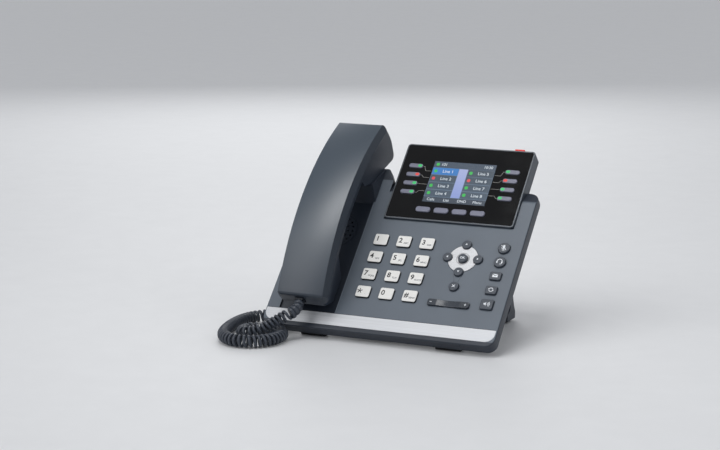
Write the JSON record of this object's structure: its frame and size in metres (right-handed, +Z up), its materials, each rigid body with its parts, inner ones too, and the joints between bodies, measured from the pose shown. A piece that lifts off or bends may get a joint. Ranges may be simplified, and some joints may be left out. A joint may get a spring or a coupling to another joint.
{
  "type": "desk ip phone",
  "caption": "Corded desk phone tilted on a foot stand, with a handset in a cradle, a colour display, dial and feature keys, a volume rocker and a curly cord.",
  "frame": {"origin": "under the middle of the phone without its cord, on the desk", "axes": "+X to the right as the user sees the phone, +Y away from the user, +Z up"},
  "size_m": [0.2435, 0.2004, 0.1684],
  "materials": {
    "slate_plastic": "fine satin moulded plastic",
    "dark_plastic": "satin moulded plastic",
    "brushed_trim": "brushed along its length",
    "key_white": "satin, printed",
    "key_dark": "soft gloss, printed",
    "key_pale": "satin",
    "nav_silver": "silver coated",
    "lens_black": "polished",
    "screen_glass": "lit colour display",
    "lamp_red": "tinted clear plastic",
    "board_green": "glass fibre board",
    "silicone": "moulded sheet",
    "speaker_steel": "painted steel",
    "socket_black": "moulded",
    "screw_steel": "plated",
    "foot_rubber": "moulded",
    "cord_sheath": "smooth sheath",
    "plug_clear": "clear moulded"
  },
  "bodies": {
    "base": {"base_plug": "plug_clear", "cradle_tab": "dark_plastic", "display_frame": "dark_plastic", "display_lens": "lens_black", "foot_stand": "dark_plastic", "front_housing": "slate_plastic", "handset_cord": "cord_sheath", "housing_screws": "screw_steel", "key_mat": "silicone", "loudspeaker": "speaker_steel", "main_board": "board_green", "message_lamp": "lamp_red", "nav_plate": "nav_silver", "rear_cover": "dark_plastic", "rear_sockets": "socket_black", "rubber_feet": "foot_rubber", "screen": "screen_glass", "trim_strip": "brushed_trim"},
    "handset": {"handset_outer_shell": "slate_plastic", "handset_inner_shell": "dark_plastic", "handset_capsules": "speaker_steel", "handset_jack": "socket_black", "handset_plug": "plug_clear"},
    "hook_lever": {"hook_lever": "dark_plastic"},
    "volume_rocker": {"volume_rocker": "key_dark"},
    "dial_key_1": {"dial_key_1": "key_white"},
    "dial_key_2": {"dial_key_2": "key_white"},
    "dial_key_3": {"dial_key_3": "key_white"},
    "dial_key_4": {"dial_key_4": "key_white"},
    "dial_key_5": {"dial_key_5": "key_white"},
    "dial_key_6": {"dial_key_6": "key_white"},
    "dial_key_7": {"dial_key_7": "key_white"},
    "dial_key_8": {"dial_key_8": "key_white"},
    "dial_key_9": {"dial_key_9": "key_white"},
    "dial_key_star": {"dial_key_star": "key_white"},
    "dial_key_0": {"dial_key_0": "key_white"},
    "dial_key_hash": {"dial_key_hash": "key_white"},
    "arrow_key_up": {"arrow_key_up": "key_dark"},
    "arrow_key_down": {"arrow_key_down": "key_dark"},
    "arrow_key_left": {"arrow_key_left": "key_dark"},
    "arrow_key_right": {"arrow_key_right": "key_dark"},
    "ok_key": {"ok_key": "key_dark"},
    "cancel_key": {"cancel_key": "key_dark"},
    "mute_key": {"mute_key": "key_dark"},
    "headset_key": {"headset_key": "key_dark"},
    "message_key": {"message_key": "key_dark"},
    "redial_key": {"redial_key": "key_dark"},
    "speaker_key": {"speaker_key": "key_dark"},
    "line_key_left_1": {"line_key_left_1": "key_pale"},
    "line_key_left_2": {"line_key_left_2": "key_pale"},
    "line_key_left_3": {"line_key_left_3": "key_pale"},
    "line_key_left_4": {"line_key_left_4": "key_pale"},
    "line_key_right_1": {"line_key_right_1": "key_pale"},
    "line_key_right_2": {"line_key_right_2": "key_pale"},
    "line_key_right_3": {"line_key_right_3": "key_pale"},
    "line_key_right_4": {"line_key_right_4": "key_pale"},
    "soft_key_1": {"soft_key_1": "key_pale"},
    "soft_key_2": {"soft_key_2": "key_pale"},
    "soft_key_3": {"soft_key_3": "key_pale"},
    "soft_key_4": {"soft_key_4": "key_pale"}
  },
  "joints": [
    {"name": "handset_lift", "type": "slide", "parent": "base", "child": "handset", "axis": [0, -0.7157, 0.6984], "range_m": [0, 0.06]},
    {"name": "hook_lever_rise", "type": "hinge", "parent": "base", "child": "hook_lever", "pos_m": [-0.066, -0.02903, 0.04189], "axis": [-1, 0, 0], "range_deg": [0, 12]},
    {"name": "volume_rocker_tip", "type": "hinge", "parent": "base", "child": "volume_rocker", "pos_m": [0.0569, -0.04165, 0.03325], "axis": [0, 0.6984, 0.7157], "range_deg": [-3, 3], "stiffness_Nm_per_rad": 0.05},
    {"name": "dial_key_1_press", "type": "slide", "parent": "base", "child": "dial_key_1", "axis": [0, 0.7157, -0.6984], "range_m": [0, 0.0012], "stiffness_N_per_m": 150, "springref_m": -0.0005},
    {"name": "dial_key_2_press", "type": "slide", "parent": "base", "child": "dial_key_2", "axis": [0, 0.7157, -0.6984], "range_m": [0, 0.0012], "stiffness_N_per_m": 150, "springref_m": -0.0005},
    {"name": "dial_key_3_press", "type": "slide", "parent": "base", "child": "dial_key_3", "axis": [0, 0.7157, -0.6984], "range_m": [0, 0.0012], "stiffness_N_per_m": 150, "springref_m": -0.0005},
    {"name": "dial_key_4_press", "type": "slide", "parent": "base", "child": "dial_key_4", "axis": [0, 0.7157, -0.6984], "range_m": [0, 0.0012], "stiffness_N_per_m": 150, "springref_m": -0.0005},
    {"name": "dial_key_5_press", "type": "slide", "parent": "base", "child": "dial_key_5", "axis": [0, 0.7157, -0.6984], "range_m": [0, 0.0012], "stiffness_N_per_m": 150, "springref_m": -0.0005},
    {"name": "dial_key_6_press", "type": "slide", "parent": "base", "child": "dial_key_6", "axis": [0, 0.7157, -0.6984], "range_m": [0, 0.0012], "stiffness_N_per_m": 150, "springref_m": -0.0005},
    {"name": "dial_key_7_press", "type": "slide", "parent": "base", "child": "dial_key_7", "axis": [0, 0.7157, -0.6984], "range_m": [0, 0.0012], "stiffness_N_per_m": 150, "springref_m": -0.0005},
    {"name": "dial_key_8_press", "type": "slide", "parent": "base", "child": "dial_key_8", "axis": [0, 0.7157, -0.6984], "range_m": [0, 0.0012], "stiffness_N_per_m": 150, "springref_m": -0.0005},
    {"name": "dial_key_9_press", "type": "slide", "parent": "base", "child": "dial_key_9", "axis": [0, 0.7157, -0.6984], "range_m": [0, 0.0012], "stiffness_N_per_m": 150, "springref_m": -0.0005},
    {"name": "dial_key_star_press", "type": "slide", "parent": "base", "child": "dial_key_star", "axis": [0, 0.7157, -0.6984], "range_m": [0, 0.0012], "stiffness_N_per_m": 150, "springref_m": -0.0005},
    {"name": "dial_key_0_press", "type": "slide", "parent": "base", "child": "dial_key_0", "axis": [0, 0.7157, -0.6984], "range_m": [0, 0.0012], "stiffness_N_per_m": 150, "springref_m": -0.0005},
    {"name": "dial_key_hash_press", "type": "slide", "parent": "base", "child": "dial_key_hash", "axis": [0, 0.7157, -0.6984], "range_m": [0, 0.0012], "stiffness_N_per_m": 150, "springref_m": -0.0005},
    {"name": "arrow_key_up_press", "type": "slide", "parent": "base", "child": "arrow_key_up", "axis": [0, 0.7157, -0.6984], "range_m": [0, 0.0012], "stiffness_N_per_m": 150, "springref_m": -0.0005},
    {"name": "arrow_key_down_press", "type": "slide", "parent": "base", "child": "arrow_key_down", "axis": [0, 0.7157, -0.6984], "range_m": [0, 0.0012], "stiffness_N_per_m": 150, "springref_m": -0.0005},
    {"name": "arrow_key_left_press", "type": "slide", "parent": "base", "child": "arrow_key_left", "axis": [0, 0.7157, -0.6984], "range_m": [0, 0.0012], "stiffness_N_per_m": 150, "springref_m": -0.0005},
    {"name": "arrow_key_right_press", "type": "slide", "parent": "base", "child": "arrow_key_right", "axis": [0, 0.7157, -0.6984], "range_m": [0, 0.0012], "stiffness_N_per_m": 150, "springref_m": -0.0005},
    {"name": "ok_key_press", "type": "slide", "parent": "base", "child": "ok_key", "axis": [0, 0.7157, -0.6984], "range_m": [0, 0.0012], "stiffness_N_per_m": 150, "springref_m": -0.0005},
    {"name": "cancel_key_press", "type": "slide", "parent": "base", "child": "cancel_key", "axis": [0, 0.7157, -0.6984], "range_m": [0, 0.0012], "stiffness_N_per_m": 150, "springref_m": -0.0005},
    {"name": "mute_key_press", "type": "slide", "parent": "base", "child": "mute_key", "axis": [0, 0.7157, -0.6984], "range_m": [0, 0.0012], "stiffness_N_per_m": 150, "springref_m": -0.0005},
    {"name": "headset_key_press", "type": "slide", "parent": "base", "child": "headset_key", "axis": [0, 0.7157, -0.6984], "range_m": [0, 0.0012], "stiffness_N_per_m": 150, "springref_m": -0.0005},
    {"name": "message_key_press", "type": "slide", "parent": "base", "child": "message_key", "axis": [0, 0.7157, -0.6984], "range_m": [0, 0.0012], "stiffness_N_per_m": 150, "springref_m": -0.0005},
    {"name": "redial_key_press", "type": "slide", "parent": "base", "child": "redial_key", "axis": [0, 0.7157, -0.6984], "range_m": [0, 0.0012], "stiffness_N_per_m": 150, "springref_m": -0.0005},
    {"name": "speaker_key_press", "type": "slide", "parent": "base", "child": "speaker_key", "axis": [0, 0.7157, -0.6984], "range_m": [0, 0.0012], "stiffness_N_per_m": 150, "springref_m": -0.0005},
    {"name": "line_key_left_1_press", "type": "slide", "parent": "base", "child": "line_key_left_1", "axis": [0, 0.7157, -0.6984], "range_m": [0, 0.0008], "stiffness_N_per_m": 150, "springref_m": -0.0005},
    {"name": "line_key_left_2_press", "type": "slide", "parent": "base", "child": "line_key_left_2", "axis": [0, 0.7157, -0.6984], "range_m": [0, 0.0008], "stiffness_N_per_m": 150, "springref_m": -0.0005},
    {"name": "line_key_left_3_press", "type": "slide", "parent": "base", "child": "line_key_left_3", "axis": [0, 0.7157, -0.6984], "range_m": [0, 0.0008], "stiffness_N_per_m": 150, "springref_m": -0.0005},
    {"name": "line_key_left_4_press", "type": "slide", "parent": "base", "child": "line_key_left_4", "axis": [0, 0.7157, -0.6984], "range_m": [0, 0.0008], "stiffness_N_per_m": 150, "springref_m": -0.0005},
    {"name": "line_key_right_1_press", "type": "slide", "parent": "base", "child": "line_key_right_1", "axis": [0, 0.7157, -0.6984], "range_m": [0, 0.0008], "stiffness_N_per_m": 150, "springref_m": -0.0005},
    {"name": "line_key_right_2_press", "type": "slide", "parent": "base", "child": "line_key_right_2", "axis": [0, 0.7157, -0.6984], "range_m": [0, 0.0008], "stiffness_N_per_m": 150, "springref_m": -0.0005},
    {"name": "line_key_right_3_press", "type": "slide", "parent": "base", "child": "line_key_right_3", "axis": [0, 0.7157, -0.6984], "range_m": [0, 0.0008], "stiffness_N_per_m": 150, "springref_m": -0.0005},
    {"name": "line_key_right_4_press", "type": "slide", "parent": "base", "child": "line_key_right_4", "axis": [0, 0.7157, -0.6984], "range_m": [0, 0.0008], "stiffness_N_per_m": 150, "springref_m": -0.0005},
    {"name": "soft_key_1_press", "type": "slide", "parent": "base", "child": "soft_key_1", "axis": [0, 0.7157, -0.6984], "range_m": [0, 0.0008], "stiffness_N_per_m": 150, "springref_m": -0.0005},
    {"name": "soft_key_2_press", "type": "slide", "parent": "base", "child": "soft_key_2", "axis": [0, 0.7157, -0.6984], "range_m": [0, 0.0008], "stiffness_N_per_m": 150, "springref_m": -0.0005},
    {"name": "soft_key_3_press", "type": "slide", "parent": "base", "child": "soft_key_3", "axis": [0, 0.7157, -0.6984], "range_m": [0, 0.0008], "stiffness_N_per_m": 150, "springref_m": -0.0005},
    {"name": "soft_key_4_press", "type": "slide", "parent": "base", "child": "soft_key_4", "axis": [0, 0.7157, -0.6984], "range_m": [0, 0.0008], "stiffness_N_per_m": 150, "springref_m": -0.0005}
  ],
  "couplings": [
    {"joint": "hook_lever_rise", "follows": "handset_lift", "rad_per_m": 3.4872}
  ]
}
